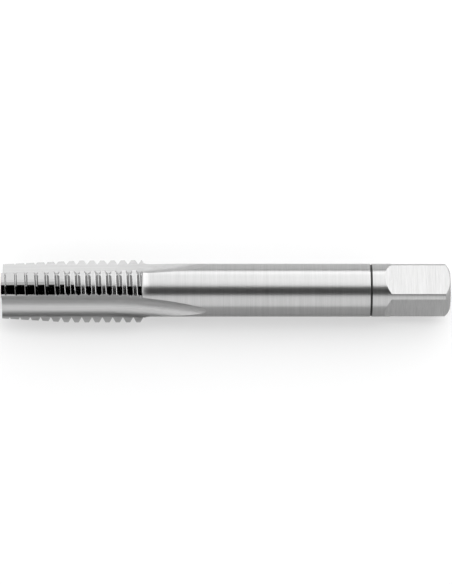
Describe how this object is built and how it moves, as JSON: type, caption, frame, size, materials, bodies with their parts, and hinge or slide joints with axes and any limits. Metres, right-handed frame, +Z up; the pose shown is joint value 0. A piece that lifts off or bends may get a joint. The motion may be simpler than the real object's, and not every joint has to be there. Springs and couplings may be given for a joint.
{
  "type": "thread tap",
  "caption": "Hand tap with straight flutes, a long lead taper, a round shank with a ring mark and a square drive end.",
  "frame": {"origin": "on the ground under the tap's axis, at the middle of its length, with the tap lying on its shank", "axes": "+X along the tap's axis from the cutting tip to the drive square, +Z up"},
  "size_m": [0.076, 0.0109, 0.01],
  "materials": {
    "tool_steel": "ground high-speed steel"
  },
  "bodies": {
    "root": {"hand_tap": "tool_steel"}
  },
  "joints": []
}
